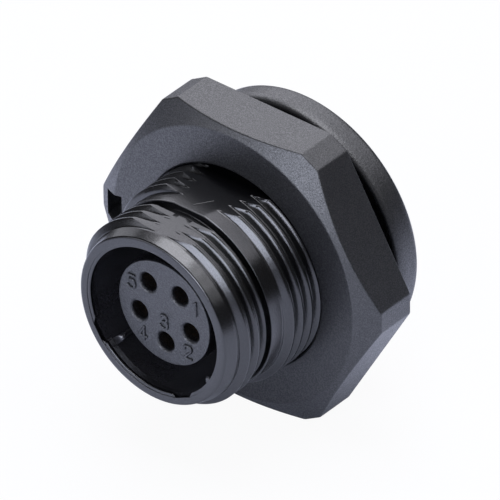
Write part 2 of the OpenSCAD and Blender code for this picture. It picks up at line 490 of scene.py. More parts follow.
def round_turn(before: Array, turn: Turn, after: Array) -> list[Array]:
    """Rounds a turn by the parabola that touches both sides, with a ring past each end.

    The rings past the ends keep the sides flat.

    Args:
        before: The ring before the turn.
        turn: The turn.
        after: The ring after it.

    Returns:
        The rings that take the turn's place.
    """
    ends = []
    for other in (before, after):
        away = other - turn.points
        length = np.linalg.norm(away, axis=-1, keepdims=True)
        unit = away / np.maximum(length, 1e-9)
        for times, part in ROUND_ENDS:
            ends.append(turn.points + unit * np.minimum(times * turn.reach, part * length))
    start, before_start, stop, past_stop = ends
    shares = np.linspace(0.0, 1.0, turn.steps + 1)
    return [before_start, *(parabola(start, turn.points, stop, share) for share in shares), past_stop]


def section_rings(turns: Sequence[Turn], closed: bool = True) -> tuple[Array, list[int]]:
    """Carries a section round its columns, with its turns rounded.

    Args:
        turns: The section's turns in order.
        closed: Whether the last turn joins the first.

    Returns:
        The rings as rows, columns and coordinates, and each turn's first row.
    """
    rings: list[Array] = []
    starts: list[int] = []
    last = len(turns) - 1
    for k, turn in enumerate(turns):
        starts.append(len(rings))
        if turn.reach > 0 and (closed or 0 < k < last):
            rings.extend(round_turn(turns[k - 1].points, turn, turns[(k + 1) % len(turns)].points))
        else:
            rings.append(turn.points)
    return np.stack(rings), starts


def put_in_scene(name: str, data: bpy.types.ID) -> bpy.types.Object:
    """Makes an object and links it to the scene.

    Args:
        name: The object's name.
        data: Its mesh, lamp or camera.

    Returns:
        The object.
    """
    made = bpy.data.objects.new(name, data)
    bpy.context.scene.collection.objects.link(made)
    return made


@dataclass
class Surface:
    """A piece's surface, made of grids whose last column joins the first.

    Attributes:
        grids: Rows, columns and coordinates of each grid.
        close_rows: Whether each grid's last row joins its first too.
    """

    grids: Sequence[Array]
    close_rows: bool = False

    def grid_faces(self) -> Array:
        """Four-sided faces: each joins (k, j), (k + 1, j), (k + 1, j + 1) and (k, j + 1) of its grid.

        Returns:
            Point numbers, four for each face.
        """
        found = []
        count = 0
        for rings in self.grids:
            rows, columns = rings.shape[:2]
            index = np.arange(rows * columns).reshape(rows, columns) + count
            below = np.roll(index, -1, axis=0)
            faces = np.stack([index, below, np.roll(below, -1, axis=1), np.roll(index, -1, axis=1)], axis=-1)
            found.append(faces[: rows if self.close_rows else rows - 1].reshape(-1, 4))
            count += rows * columns
        return np.concatenate(found)

    def joined(self) -> tuple[Array, list[list[int]]]:
        """Merges points that coincide, drops faces with no area and turns every face outwards.

        Returns:
            The points and the faces.
        """
        points = np.concatenate([rings.reshape(-1, 3) for rings in self.grids])
        keys = np.round(points / 1e-4).astype(np.int64)
        _, first, where = np.unique(keys, axis=0, return_index=True, return_inverse=True)
        points = points[first]
        faces = where.reshape(-1)[self.grid_faces()]
        corner = points[faces]
        cross = np.cross(corner[:, 2] - corner[:, 0], corner[:, 3] - corner[:, 1])
        volume = np.einsum("ij,ij->", corner.mean(axis=1), cross)
        if volume < 0:
            faces = faces[:, ::-1]
        same = faces == np.roll(faces, -1, axis=1)
        whole = faces[~same.any(axis=1)].tolist()
        short = same.sum(axis=1) == 1
        whole.extend(faces[short][~same[short]].reshape(-1, 3).tolist())
        return points, whole

    def piece(self, name: str, sharp: float = 38.0) -> bpy.types.Object:
        """Makes the piece, shaded smooth except across sharp edges.

        Args:
            name: The piece's name.
            sharp: Degrees from which an edge is sharp.

        Returns:
            The new object, at the origin.
        """
        points, faces = self.joined()
        mesh = bpy.data.meshes.new(name)
        mesh.from_pydata((points * MM).tolist(), [], faces)
        mesh.validate()
        mesh.shade_smooth()
        mesh.set_sharp_from_angle(angle=math.radians(sharp))
        return put_in_scene(name, mesh)


@dataclass(frozen=True)
class Bead:
    """A raised line on a face: a round section carried along a path, with domed ends.

    Attributes:
        out: The face's direction.
        radius: Radius of the section.
        rounds: How often the path's corners are cut.
        columns: Points round the section.
        domed: Rings in each domed end.
        sharp: Degrees from which an edge is sharp.
    """

    out: Triple
    radius: float
    rounds: int = 3
    columns: int = 12
    domed: int = 4
    sharp: float = 60.0

    def rings(self, path: Array) -> Array:
        """The bead's rings along a path.

        The corners are cut at a quarter and three quarters of each side, which tends to a smooth curve. The
        section's points lie at cos(t) across the path and sin(t) off the face, times the radius, and past
        each end the radius falls as a quarter circle.

        Args:
            path: Corners of the path in rows.

        Returns:
            Rows, columns and coordinates.
        """
        line = np.asarray(path, dtype=float)
        for _ in range(self.rounds):
            near = 0.75 * line[:-1] + 0.25 * line[1:]
            far = 0.25 * line[:-1] + 0.75 * line[1:]
            line = np.concatenate([line[:1], np.stack([near, far], axis=1).reshape(-1, 3), line[-1:]])
        ahead = np.gradient(line, axis=0)
        ahead /= np.linalg.norm(ahead, axis=-1, keepdims=True)
        fall = np.linspace(QUARTER, 0.0, self.domed + 1)[:-1]
        past = self.radius * np.sin(fall)[:, None]
        middle = np.concatenate([line[0] - ahead[0] * past, line, line[-1] + ahead[-1] * past[::-1]])
        heading = np.pad(ahead, ((self.domed, self.domed), (0, 0)), mode="edge")
        radius = self.radius * np.concatenate([np.cos(fall), np.ones(len(line)), np.cos(fall[::-1])])
        out = np.array(self.out)
        turn = np.linspace(0.0, TAU, self.columns, endpoint=False)[:, None]
        around = np.cos(turn) * np.cross(heading, out)[:, None] + np.sin(turn) * out
        return middle[:, None] + radius[:, None, None] * around

    def piece(self, name: str, paths: Sequence[Array]) -> bpy.types.Object:
        """Makes one piece of a bead along each path."""
        return Surface([self.rings(path) for path in paths]).piece(name, self.sharp)


def hand_over(
    piece: bpy.types.Object,
    finish: Material,
    node: str | None = None,
    body: Body = Body.RECEPTACLE,
) -> None:
    """Dresses a piece and puts it on its body.

    Args:
        piece: The piece.
        finish: Its material.
        node: The node that it stands for, if any.
        body: The body that it rides on.
    """
    piece.data.materials.clear()
    piece.data.materials.append(finish)
    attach(piece, body.value)
    if node:
        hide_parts(node)
    piece.data.calc_loop_triangles()
    LOG.info("%s on %s, %d triangles", piece.name, body.value, len(piece.data.loop_triangles))


@dataclass(frozen=True)
class ScrewThread:
    """A right-handed outside thread with a flat along its top.

    Attributes:
        crest_r: Radius of the crests.
        root_r: Radius of the roots.
        crest: Place of a crest's middle at the reference angle.
        start: Where the threaded length starts.
        stop: Where it ends.
        fade: The crest's place at which the first turn starts to rise, and at which it is whole.
        flat_h: Height of the flat above the axis.
        front_r: Radius to which the first turn falls on its front side.
        shown_to: Place from which the thread is hidden and gets fewer rows.
        flat_fall: How much the flat falls towards the rear for each millimetre.
        pitch: From crest to crest.
        land: Half the width of a crest's land.
        widest: Half the width that a crest's rows take up, in pitches.
        flank: Slant of the flanks from square to the axis.
        reference: Angle at which the crest is given.
        flat_turn: How far the flat is turned from square to +Z.
        soft: Blends at the crest, at the root and at the flat's edge.
        swing: Degrees either side of the flat's middle over which the rows go back by a pitch.
        least_sine: Sine below which an angle counts as past the flat.
        land_row: Place of the row on a shown land, as a part of its half width.
        flank_rows: Places of the rows on a shown flank, as parts of the way from the land.
    """

    crest_r: float
    root_r: float
    crest: float
    start: float
    stop: float
    fade: Pair
    flat_h: float
    front_r: float
    shown_to: float
    flat_fall: float = 0.0
    pitch: float = 1.0
    land: float = 0.105
    widest: float = 0.44
    flank: float = math.radians(30)
    reference: float = math.radians(50)
    flat_turn: float = math.radians(-1.1)
    soft: Triple = (0.07, 0.06, 0.03)
    swing: float = 4.5
    least_sine: float = 0.3
    land_row: float = 0.7
    flank_rows: tuple[float, ...] = (0.0, 0.14, 0.46, 0.75, 0.88, 1.0)

    def radius(self, angle: Array, along: Array) -> Array:
        """Radius of the threaded surface.

        A crest winds forward by a pitch for each turn. From the distance to the nearest crest, the flank
        falls at 30 degrees from square to the axis, between the land and the root, with soft corners. In
        front of the first crest the front radius replaces the root, over the last quarter of the turn.

        Args:
            angle: Angles about the axis, from 0 to a full turn.
            along: Places along the axis.

        Returns:
            The radii.
        """
        turns = (along - self.crest) / self.pitch - (self.reference - angle) / TAU
        apart = (turns - np.round(turns)) * self.pitch
        last_quarter = smooth_step((angle / TAU - 0.75) * 4.0)
        ahead = np.where(turns < 0.0, 1.0, np.where(turns < 1.0, last_quarter, 0.0))
        bottom = self.root_r + ahead * (self.front_r - self.root_r)
        flank = self.crest_r - (np.abs(apart) - self.land) / math.tan(self.flank)
        ridge = soft_least(flank, np.full_like(flank, self.crest_r), self.soft[0])
        ridge = -soft_least(-ridge, -bottom, self.soft[1])
        rise = smooth_step((along - apart - self.fade[0]) / (self.fade[1] - self.fade[0]))
        return bottom + np.clip(ridge - bottom, 0.0, None) * rise

    def limit(self, angle: Array) -> Array:
        """Radius at which the flat cuts each angle: its height over the sine, held away from nothing."""
        return self.flat_h / np.maximum(np.sin(angle - self.flat_turn), self.least_sine)

    def level(self, along: Array | float) -> Array | float:
        """Height of the flat at places along the axis."""
        return self.flat_h - self.flat_fall * (along - self.start)

    def flattened(self, radius: Array, angle: Array, along: Array | float) -> Array:
        """Cuts the flat across a round surface."""
        return soft_least(radius, self.limit(angle) * self.level(along) / self.flat_h, self.soft[2])

    def rows(self, angle: Array) -> Array:
        """Rows that follow the thread's own lines, so that its edges stay clean.

        The rows lie at the corners of the thread's section, as distances from the crest's middle, with
        more of them where the thread shows. They lean from minus to plus half a pitch round the axis, go
        back on the flat, and stop at both ends. Where the flat cuts a crest, its corner moves down the
        flank with the cut.

        Args:
            angle: Angles of the columns.

        Returns:
            Places along the axis, in rows and columns.
        """
        cut = np.clip(self.crest_r - self.limit(angle), 0.0, self.crest_r - self.root_r)
        corner = self.land + cut * math.tan(self.flank)
        spread = self.widest * self.pitch - corner
        clock = np.mod(90.0 - np.degrees(angle - self.flat_turn), 360.0)
        ends = np.array([self.swing, 360.0 - self.swing])
        lean = self.pitch * np.interp(clock, [0.0, *ends, 360.0], [0.0, *(ends / 360.0 - 0.5), 0.0])
        middle = self.crest + self.pitch * (0.25 + (self.reference - self.flat_turn) / TAU)
        fine = np.stack([self.land_row * corner, *(corner + share * spread for share in self.flank_rows)])
        coarse = np.stack([corner, corner + spread])
        rows = []
        for turn in range(-3, math.ceil((self.stop - self.start) / self.pitch) + 2):
            place = middle + turn * self.pitch
            half = fine if place < self.shown_to else coarse
            rows.append(place + lean + np.concatenate([-half[::-1], half]))
        return np.clip(np.concatenate(rows), self.start, self.stop)

    def turns(self, angle: Array) -> list[Turn]:
        """The thread's rings, flattened on top.

        Args:
            angle: Angles of the columns.

        Returns:
            One turn for each row.
        """
        along = self.rows(angle)
        around = np.broadcast_to(angle, along.shape)
        radius = self.flattened(self.radius(around, along), around, along)
        return [Turn(ring) for ring in about_axis(around, radius, along)]


@dataclass
class ThreadedShell:
    """The moulded shell: keyed mouth, coupling thread, relief groove, collar, panel thread and flange."""

    columns: tuple[int, int] = (228, 130)
    close_span: Pair = (math.radians(58), math.radians(120))
    rim: float = -15.4
    rim_r: float = 6.65
    nose_r: float = 6.95
    nose_back: float = -14.46
    step_r: float = 6.05
    step_depth: float = 0.06
    mouth_r: float = 5.8
    lip: float = 0.3
    bore_r: float = 6.12
    insert_face: float = -14.115
    floor: float = -7.1
    web_r: float = 4.22
    web_back: float = -5.7
    rear_bore_r: float = 5.25
    back: float = 5.05
    barrel_r: float = 6.0
    flange_r: float = 10.2
    flange_t: float = 1.85
    flange_front: float = -0.35
    groove_r: float = 6.86
    groove_front: float = -11.76
    collar_r: float = 7.475
    collar: Pair = (-11.23, -10.02)
    seal_r: float = 9.1
    seal_depth: float = 0.6
    key_clock: Pair = (155.5, 239.2)
    key_w: float = 1.75
    key_depth: float = 0.25
    key_end: float = 0.28
    key_at_r: float = 6.0
    rib_clock: Pair = (136.2, 227.0)
    rib_w: float = 0.5
    rib_h: float = 0.77
    rib_low: float = 0.6
    rib_lead: float = 0.2
    rib_foot: float = 0.03
    rib_at_r: float = 5.5
    mark: tuple[Pair, ...] = ((0.03, -10.56), (0.8, -9.26))
    mark_r: float = 0.045
    coupling: ScrewThread = ScrewThread(
        crest_r=7.5, root_r=7.0, crest=-13.82, start=-14.44, stop=-11.82, fade=(-14.2, -14.09),
        flat_h=6.965, front_r=6.95, shown_to=0.0,
    )
    panel: ScrewThread = ScrewThread(
        crest_r=8.0, root_r=7.48, crest=-9.52, start=-10.0, stop=-0.02, fade=(-10.02, -9.77),
        flat_h=7.3, front_r=7.48, shown_to=-5.8, flat_fall=0.04,
    )

    def angles(self) -> Array:
        """Column angles, which are closer across the flats, at the keyways' sides and across each rib.

        Returns:
            Angles in rising order.
        """
        wide, close = self.columns
        first, last = self.close_span
        across = np.linspace(first, last, close, endpoint=False)
        even = np.concatenate([across, np.linspace(last, first + TAU, wide, endpoint=False)])
        side = self.key_w / 2 + self.key_end * np.linspace(-1.0, 1.0, 6)
        key = np.r_[-side[::-1], side] / self.key_at_r
        half = self.rib_w / 2
        foot = half + self.rib_foot
        rib = np.r_[-foot, half * np.sin(np.linspace(-1.5, 1.5, 9)), foot] / self.rib_at_r
        clear = np.ones_like(even, dtype=bool)
        extra = []
        for clocks, across in ((self.key_clock, key), (self.rib_clock, rib)):
            for middle in map(clock_angle, clocks):
                clear &= np.abs(np.abs(signed(even - middle)) - across[-1]) > 0.004
                extra.append(middle + across)
        return in_turn(np.concatenate([even[clear], *extra]))

    def wall(self, angle: Array, bore_r: float, rib: float = 0.0) -> Array:
        """Radius of the cavity's wall: the bore, flat keyways let into it and ribs with round tops.

        A keyway's floor is a chord, its distance over the cosine of the angle from its middle, with soft
        ends. A rib's top is a circle of half the rib's width, and its share makes the rib lower.

        Args:
            angle: Column angles.
            bore_r: Radius of the bore here.
            rib: Share of the ribs' height, from 0 to 1.

        Returns:
            One radius for each column.
        """
        radius = np.full_like(angle, bore_r)
        for clock in self.key_clock:
            away = signed(angle - clock_angle(clock))
            share = smooth_step((self.key_w / 2 - np.abs(away) * self.key_at_r) / (2 * self.key_end) + 0.5)
            floor = np.maximum((self.mouth_r + self.key_depth) / np.maximum(np.cos(away), 0.5), bore_r)
            radius = radius + share * (floor - bore_r)
        half = self.rib_w / 2
        for clock in self.rib_clock:
            away = signed(angle - clock_angle(clock)) * self.rib_at_r
            top = self.rib_h - half + np.sqrt(np.clip(half**2 - away**2, 0.0, None))
            radius = np.where(np.abs(away) <= half + self.rib_foot / 2, bore_r - rib * top, radius)
        return radius

    def section(self, angle: Array) -> list[Turn]:
        """The section's turns: the flange's groove, the threads, the rim, the bores and the flange.

        Args:
            angle: Column angles.

        Returns:
            The turns in order.
        """

        def ring(
            radius: Array | float, along: float, reach: float = 0.0, flat: ScrewThread | None = None
        ) -> Turn:
            """A turn at one place along the axis, cut by a thread's flat if one is given."""
            held = radius if flat is None else flat.flattened(np.full_like(angle, radius), angle, along)
            return Turn(about_axis(angle, held, along), reach, 4 if reach > 0.12 else 3)

        ledge = self.rim + self.step_depth
        stepped, keyed = (self.wall(angle, radius) for radius in (self.step_r, self.mouth_r))
        ribbed = self.wall(angle, self.bore_r, self.rib_low)
        rib_front = self.insert_face - self.rib_lead
        dome = [
            ring(self.wall(angle, self.bore_r, math.sin(t)), rib_front + (1 - math.cos(t)) * self.rib_w / 2)
            for t in np.linspace(0.0, QUARTER, 6)[1:]
        ]
        collar_front, collar_back = self.collar
        outside = [ring(self.panel.crest_r, self.seal_depth), ring(self.panel.crest_r, 0.0)]
        outside += self.panel.turns(angle)[::-1]
        for along in (collar_back, collar_back - 0.08, collar_front + 0.16):
            outside.append(ring(self.collar_r, along, 0.0, self.panel))
        outside += [
            ring(self.collar_r, collar_front, 0.1, self.panel),
            ring(self.groove_r, collar_front, 0.05),
            ring(self.groove_r, self.groove_front, 0.05),
            ring(self.coupling.root_r - 0.04, self.groove_front, 0.0, self.coupling),
        ]
        outside += self.coupling.turns(angle)[::-1]
        for share in (0.0, 0.1, 0.7):
            radius = self.nose_r + share * (self.rim_r - self.nose_r)
            along = self.nose_back + share * (self.rim - self.nose_back)
            outside.append(ring(radius, along, 0.0, self.coupling))
        inside = [
            ring(self.rim_r, self.rim, 0.2),
            ring(stepped, self.rim, 0.04),
            ring(stepped, ledge, 0.02),
            ring(keyed, ledge, 0.2),
            ring(keyed, self.rim + self.lip, 0.05),
            ring(self.wall(angle, self.bore_r), rib_front - 0.05, 0.03),
            *dome,
            ring(ribbed, rib_front + 0.8),
            ring(ribbed, self.floor),
            ring(self.web_r, self.floor),
            ring(self.web_r, self.web_back),
            ring(self.rear_bore_r, self.web_back),
            ring(self.rear_bore_r, self.back, 0.25),
            ring(self.barrel_r, self.back, 0.25),
            ring(self.barrel_r, self.flange_t, 0.2),
            ring(self.flange_r, self.flange_t, 0.45),
            ring(self.flange_r, self.flange_front, 0.75),
            ring(self.seal_r, self.flange_front, 0.06),
            ring(self.seal_r, self.seal_depth),
        ]
        return outside + inside

    def build(self, finish: Material) -> None:
        """Makes the shell and the mould's mark on its rear flat.

        Args:
            finish: The shell's material.
        """
        rings, _ = section_rings(self.section(self.angles()))
        hand_over(Surface([rings], True).piece("moulded_shell"), finish, "shell")
        across, along = np.array(self.mark).T
        height = self.panel.level(along) + across * math.tan(self.panel.flat_turn)
        line = Bead((0.0, 0.0, 1.0), self.mark_r).piece("mould_mark", [np.c_[across, along, height]])
        hand_over(line, finish)


@dataclass
class PanelNut:
    """The hexagon nut: cut corners, a conical chamfer, a countersunk bore and a pocket at one corner."""

    flat_r: float = 11.5
    corner_r: float = 12.8
    face: float = -6.55
    back: float = -2.3
    face_r: float = 11.0
    chamfer: float = math.radians(28)
    bore_r: float = 8.03
    countersink: float = 0.1
    turn: float = math.radians(-1.2)
    edge: float = 0.12
    per_flat: int = 26
    per_corner: int = 4
    pocket_x: Pair = (10.25, 12.03)
    pocket_half: Pair = (1.39, 1.05)
    pocket_depth: float = 2.0
    pocket_lip: float = 0.03
    pocket_wall: float = 0.985
    pocket_clear: Pair = (0.93, 1.75)
    slack: float = 0.01
    sharp: float = 30.0

    def outline(self) -> tuple[Array, Array]:
        """The hexagon with cut corners as angles and radii.

        Twelve straight sides, each at its distance along its normal, meet at corners that a parabola rounds.

        Returns:
            Angles in rising order and the radius at each.
        """
        number = np.arange(12)
        normal = np.radians(number * 30.0)
        distance = np.where(number % 2 == 0, self.corner_r, self.flat_r)
        next_normal, next_distance = np.roll(normal, -1), np.roll(distance, -1)
        across = distance * np.sin(next_normal) - next_distance * np.sin(normal)
        above = next_distance * np.cos(normal) - distance * np.cos(next_normal)
        corners = np.stack([across, above], axis=-1) / np.sin(next_normal - normal)[:, None]
        lines = []
        share = np.linspace(0.0, 1.0, 6)[:, None]
        for k, corner in enumerate(corners):
            before, after = corners[k - 1], corners[(k + 1) % 12]
            back = (before - corner) / np.linalg.norm(before - corner)
            ahead = (after - corner) / np.linalg.norm(after - corner)
            stop = corner + ahead * self.edge
            lines.append(parabola(corner + back * self.edge, corner, stop, share))
            count = self.per_flat if k % 2 == 0 else self.per_corner
            part = np.linspace(0.0, 1.0, count + 2)[1:-1, None]
            lines.append(stop + (after - ahead * self.edge - stop) * part)
        points = np.concatenate(lines)
        angle = np.mod(np.arctan2(points[:, 1], points[:, 0]), TAU)
        order = np.argsort(angle)
        return angle[order], np.hypot(points[order, 0], points[order, 1])

    def pocket_edge(self) -> float:
        """Angle from the pocket's middle to its sides, at the outline."""
        return math.atan2(sum(self.pocket_half) / 2, self.corner_r)

    def columns(self) -> tuple[Array, Array]:
        """Columns of the outline, with those across the pocket put where its walls need them.

        Returns:
            Angles and radii of the outline's columns.
        """
        angle, radius = self.outline()
        away = np.abs(angle - math.pi)
        edge = self.pocket_edge()
        near, far = self.pocket_clear
        kept = (away < edge * near) | (away > edge * far)
        sides = math.pi + edge * np.array([-1.0, -self.pocket_wall, self.pocket_wall, 1.0])
        columns = np.sort(np.concatenate([angle[kept], sides]))
        return columns, np.interp(columns, angle, radius, period=TAU)

    def build(self, finish: Material) -> None:
        """Makes the nut in its finish.

        Rings run from the bore over the face and the chamfer, down the sides and back. The chamfer falls
        by the tangent of its angle past the face's circle. In the pocket the rings go down to its floor.

        Args:
            finish: The nut's material.
        """
        angle, outer = self.columns()
        slope = math.tan(self.chamfer)
        edge = self.face + (outer - self.face_r) * slope
        low, high = self.pocket_x
        sink = self.bore_r + self.countersink
        corners = [
            (self.bore_r, self.back - self.countersink, 0.03),
            (self.bore_r, self.face + self.countersink, 0.03),
            (sink, self.face, 0.05),
            (low - 0.5, self.face),
            (low, self.face),
            (low + self.pocket_lip, self.face),
            (self.face_r, self.face, 0.09),
            (self.face_r + 0.3 * (outer - self.face_r), self.face + 0.3 * (edge - self.face)),
            (outer, edge, 0.09),
            (outer, self.back, 0.12),
            (sink, self.back, 0.05),
        ]
        rings, starts = section_rings(corner_turns(angle, corners))
        share = (math.pi - angle) / self.pocket_edge()
        across = np.flatnonzero(np.abs(share) < 1.0 + self.slack)
        deep = across[np.abs(share[across]) < 1.0 - self.slack]
        # The pocket takes the rings from its inner wall to the one on the chamfer
        first, last = starts[4], starts[7]
        reach = np.linspace(low + self.pocket_lip, high - self.pocket_lip, last - first - 1)
        place = np.r_[low, reach, high][:, None]
        side = share[across] * np.interp(place, self.pocket_x, self.pocket_half)
        block = np.stack(np.broadcast_arrays(-place, self.face, side), axis=-1).copy()
        block[..., 1] += np.maximum(np.hypot(block[..., 0], block[..., 2]) - self.face_r, 0.0) * slope
        rings[first : last + 1, across] = block
        rings[first + 1 : last, deep, 1] = self.face + self.pocket_depth
        piece = Surface([spun(rings, self.turn)], True).piece("hexagon_nut", self.sharp)
        hand_over(piece, finish, "hex_nut", Body.NUT)


@dataclass(frozen=True)
class HoleRing:
    """Five holes on a circle, each at its number's clock angle.

    Attributes:
        circle_r: Radius of the circle.
        count: Number of holes.
        per_side: Columns on each side of a hole's patch.
        margin: Width of the narrow strip round each end of a hole.
    """

    circle_r: float = 2.475
    count: int = 5
    per_side: int = 20
    margin: float = 0.02

    def numbers(self) -> range:
        """The holes' numbers."""
        return range(1, self.count + 1)

    def angle(self, number: int) -> float:
        """Angle of a numbered hole."""
        return clock_angle((number - 0.5) * 360.0 / self.count)

    def arc(self) -> Array:
        """Angles across one hole's share of a round face, from the hole's own."""
        half = math.pi / self.count
        return np.linspace(-half, half, self.per_side, endpoint=False)

    def rim_angles(self) -> Array:
        """Angles of the outer arc's points all the way round."""
        return np.sort(np.mod(np.concatenate([self.angle(k) + self.arc() for k in self.numbers()]), TAU))

    def border(self, edge_r: float) -> Array:
        """The border of one hole's share of a round face: two sides from the middle and the outer arc.

        Args:
            edge_r: Radius of the face.

        Returns:
            Points across and along the hole's own radius, closed round the hole.
        """
        half = np.full(self.per_side, math.pi / self.count)
        out = np.linspace(0.0, edge_r, self.per_side, endpoint=False)
        angle = np.concatenate([-half, self.arc(), half])
        radius = np.concatenate([out, np.full(self.per_side, edge_r), edge_r - out])
        return np.stack([radius * np.cos(angle), radius * np.sin(angle)], axis=-1)

    def patch(self, number: int, edge_r: float, steps: Sequence[Pair]) -> Array:
        """The sheet that goes from the front face through one hole to the back face.

        Each row blends from the border to a circle about the hole, runs down the hole, and goes back.

        Args:
            number: The hole's number.
            edge_r: Radius of both faces.
            steps: The hole's radii and places along the axis, from the front face to the back face.

        Returns:
            Rows, columns and coordinates.
        """
        hole = np.array([self.circle_r, 0.0])
        border = self.border(edge_r) - hole
        unit = border / np.linalg.norm(border, axis=-1, keepdims=True)
        (first_r, front), (last_r, back) = steps[0], steps[-1]
        circles = [(first_r + self.margin, front), *steps, (last_r + self.margin, back)]
        rows = [(border * (1 - share) + unit * first_r * share, front) for share in (0.0, 0.35, 0.65, 0.88)]
        rows += [(unit * radius, along) for radius, along in circles]
        rows += [(border * (1 - share) + unit * last_r * share, back) for share in (0.85, 0.5, 0.0)]
        flat = np.stack([row for row, _ in rows]) + hole
        along = np.broadcast_to(np.array([place for _, place in rows])[:, None], flat.shape[:2])
        return spun(np.stack([flat[..., 0], along, flat[..., 1]], axis=-1), self.angle(number))

    def drilled(self, edge_r: float, steps: Sequence[Pair], sides: Sequence[tuple[float, ...]]) -> Surface:
        """A round body with the holes through it.

        Args:
            edge_r: Radius where the faces end.
            steps: Radii and places down each hole, from the front face to the back face.
            sides: Corners of the outside from the front face's edge to the back face's.

        Returns:
            The closed surface.
        """
        rings, _ = section_rings(corner_turns(self.rim_angles(), sides), closed=False)
        return Surface([*(self.patch(number, edge_r, steps) for number in self.numbers()), rings[::-1]])


@dataclass
class ContactInsert:
    """The grey insert: a face with five flared, numbered holes, a shoulder and a boss."""

    holes: HoleRing = HoleRing()
    face: float = -14.115
    back: float = -3.1
    radius: float = 4.17
    shoulder_r: float = 5.2
    shoulder: Pair = (-5.7, -4.3)
    hole_r: float = 0.71
    mouth_r: float = 0.94
    flare_depth: float = 1.3
    front_t: float = 1.6
    chamber_r: float = 0.9
    seat_r: float = 1.15
    seat_depth: float = 0.8
    edge: float = 0.12
    figure_h: float = 1.05
    figure_line: float = 0.11
    figure_lift: float = 0.03
    figures: tuple[Pair, ...] = ((2.95, 1.56), (2.11, -2.48), (-0.04, -0.75), (-2.05, -2.50), (-2.94, 1.55))

    def build(self, finish: Material) -> None:
        """Makes the insert and its raised figures.

        A hole's mouth narrows with the square of what is left of its way, and deepens with the power 1.5.

        Args:
            finish: The insert's material.
        """
        flat_r = self.radius - self.edge
        flare = self.mouth_r - self.hole_r
        web_back, seat = self.face + self.front_t, self.back - self.seat_depth
        steps = [
            (self.hole_r + flare * (1 - share) ** 2, self.face + flare * self.flare_depth * share**1.5)
            for share in np.linspace(0.0, 1.0, 6)
        ]
        steps += [(self.hole_r, web_back), (self.chamber_r, web_back)]
        steps += [(self.chamber_r, seat), (self.seat_r, seat), (self.seat_r, self.back)]
        front, behind = self.shoulder
        sides = [
            (flat_r, self.face),
            (self.radius, self.face, self.edge, 5),
            (self.radius, front, 0.03),
            (self.shoulder_r, front, 0.08),
            (self.shoulder_r, behind, 0.08),
            (self.radius, behind, 0.03),
            (self.radius, self.back, 0.08),
            (flat_r, self.back),
        ]
        insert = self.holes.drilled(flat_r, steps, sides).piece("contact_insert")
        hand_over(insert, finish, "insert")
        bead = Bead((0.0, -1.0, 0.0), self.figure_line)
        for number, middle in enumerate(self.figures, start=1):
            paths = []
            for stroke in FIGURE_STROKES[number]:
                flat = np.array(stroke) * self.figure_h + np.array(middle)
                paths.append(np.insert(flat, 1, self.face - self.figure_lift, axis=1))
            hand_over(bead.piece(f"figure_{number}", paths), finish)


@dataclass
class RearParts:
    """The disc and the ring behind the insert, and the gasket in the flange."""

    holes: HoleRing = HoleRing()
    disc: Pair = (-3.1, -1.1)
    disc_r: float = 5.2
    edge: float = 0.15
    cup_way_r: float = 0.85
    ring: Pair = (-1.1, 0.5)
    ring_r: Pair = (4.2, 5.2)
    gasket: Pair = (-0.3, 0.6)
    gasket_r: Pair = (8.1, 9.0)
    gasket_edge: float = 0.12
    columns: int = 192

    def hoop(self, radii: Pair, places: Pair, edge: float) -> Surface:
        """A hoop of rectangular section with rounded edges.

        Args:
            radii: The inner and the outer radius.
            places: The front and the back along the axis.
            edge: Reach of the rounding.

        Returns:
            The closed surface.
        """
        angle = np.linspace(0.0, TAU, self.columns, endpoint=False)
        (inner, outer), (front, back) = radii, places
        corners = [(inner, front, edge), (outer, front, edge), (outer, back, edge), (inner, back, edge)]
        rings, _ = section_rings(corner_turns(angle, corners))
        return Surface([rings], True)

    def build(self, grey: Material, black: Material, rubber: Material) -> None:
        """Makes the disc, the ring and the gasket.

        Args:
            grey: The disc's material.
            black: The ring's material.
            rubber: The gasket's material.
        """
        front, back = self.disc
        edge = self.edge
        flat_r = self.disc_r - edge
        r = self.cup_way_r
        steps = [(r + 0.1, front), (r + 0.03, front + 0.03), (r, front + 0.1)]
        steps += [(r, back - 0.2), (r + 0.05, back - 0.07), (r + 0.15, back)]
        sides = [(flat_r, front), (self.disc_r, front, edge), (self.disc_r, back, edge), (flat_r, back)]
        disc = self.holes.drilled(flat_r, steps, sides).piece("rear_disc")
        hand_over(disc, grey, "rear_insulator")
        ring = self.hoop(self.ring_r, self.ring, edge).piece("press_ring")
        hand_over(ring, black, "retaining_ring")
        gasket = self.hoop(self.gasket_r, self.gasket, self.gasket_edge).piece("flange_gasket")
        hand_over(gasket, rubber, "panel_gasket")


